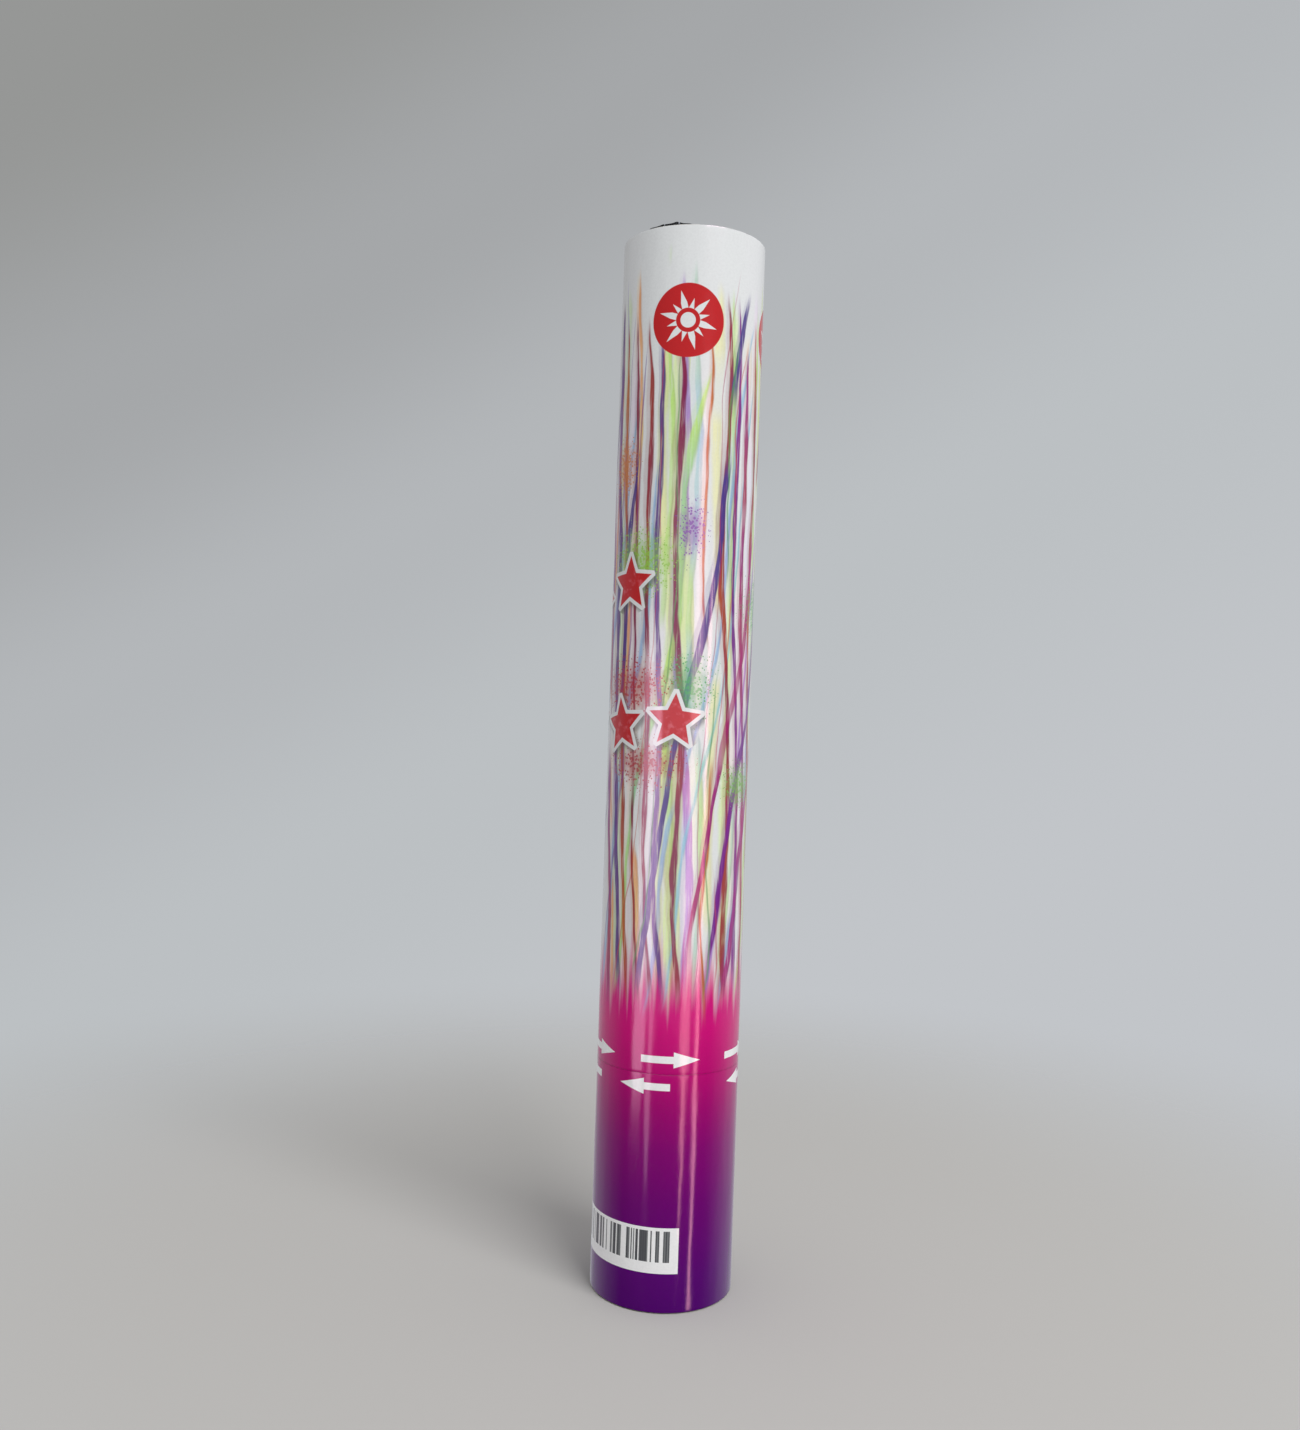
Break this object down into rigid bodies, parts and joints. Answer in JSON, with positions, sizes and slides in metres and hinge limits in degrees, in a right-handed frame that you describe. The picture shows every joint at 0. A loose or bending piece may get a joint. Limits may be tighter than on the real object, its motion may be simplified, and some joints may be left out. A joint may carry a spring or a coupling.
{
  "type": "confetti popper",
  "caption": "Slim hand-held party popper: a short grip tube and a long barrel tube that twist on each other to launch confetti and streamers.",
  "frame": {"origin": "centre of the ring that the popper stands on, at the bottom of the grip tube", "axes": "+Z along the tube towards the muzzle, the front of the print faces -Y, +X to the right of that front"},
  "size_m": [0.0412, 0.0412, 0.3022],
  "materials": {
    "tube_board": "wound grey board, cut ends fibrous",
    "grip_print": "gloss-coated print, magenta to violet",
    "barrel_print": "gloss-coated print, many-coloured streaks on white",
    "white_plastic": "moulded, satin",
    "grey_plastic": "moulded, satin",
    "orange_plastic": "moulded, satin",
    "spring_steel": "drawn wire",
    "pad_foam": "fine closed-cell foam",
    "tissue_red": "tissue slips in a stack",
    "tissue_orange": "tissue slips in a stack",
    "tissue_yellow": "tissue slips in a stack",
    "tissue_green": "tissue slips in a stack",
    "tissue_blue": "tissue slips in a stack",
    "tissue_pink": "tissue slips in a stack",
    "streamer_pink": "wound paper band, cut edges showing",
    "streamer_yellow": "wound paper band, cut edges showing",
    "streamer_blue": "wound paper band, cut edges showing",
    "streamer_green": "wound paper band, cut edges showing",
    "streamer_red": "wound paper band, cut edges showing",
    "dark_film": "thin dark metallised film, creased"
  },
  "bodies": {
    "grip": {"grip_tube": "tube_board", "grip_wrap": "grip_print", "end_plug": "white_plastic", "latch_post": "grey_plastic", "latch_claws": "orange_plastic", "swivel_neck": "white_plastic"},
    "barrel": {"barrel_tube": "tube_board", "barrel_wrap": "barrel_print", "turn_collar": "grey_plastic", "drive_ring": "white_plastic", "launch_spring": "spring_steel"},
    "plunger": {"plunger": "orange_plastic"},
    "payload": {"wad_disc": "tube_board", "foam_pad": "pad_foam", "confetti_red": "tissue_red", "confetti_orange": "tissue_orange", "confetti_yellow": "tissue_yellow", "confetti_green": "tissue_green", "confetti_blue": "tissue_blue", "confetti_pink": "tissue_pink", "streamer_1": "streamer_pink", "streamer_2": "streamer_yellow", "streamer_3": "streamer_blue", "streamer_4": "streamer_green", "streamer_5": "streamer_red"},
    "film": {"muzzle_film": "dark_film"}
  },
  "joints": [
    {"name": "twist", "type": "hinge", "parent": "grip", "child": "barrel", "pos_m": [0, 0, 0.0658], "axis": [0, 0, 1], "range_deg": [0, 60], "deforming": ["latch_claws"]},
    {"name": "plunger_slide", "type": "slide", "parent": "barrel", "child": "plunger", "axis": [0, 0, 1], "range_m": [0, 0.145], "deforming": ["launch_spring"]},
    {"name": "payload_slide", "type": "slide", "parent": "plunger", "child": "payload", "axis": [0, 0, 1], "range_m": [0, 0.205]},
    {"name": "film_lift", "type": "slide", "parent": "payload", "child": "film", "axis": [0, 0, 1], "range_m": [0, 0.05]}
  ]
}
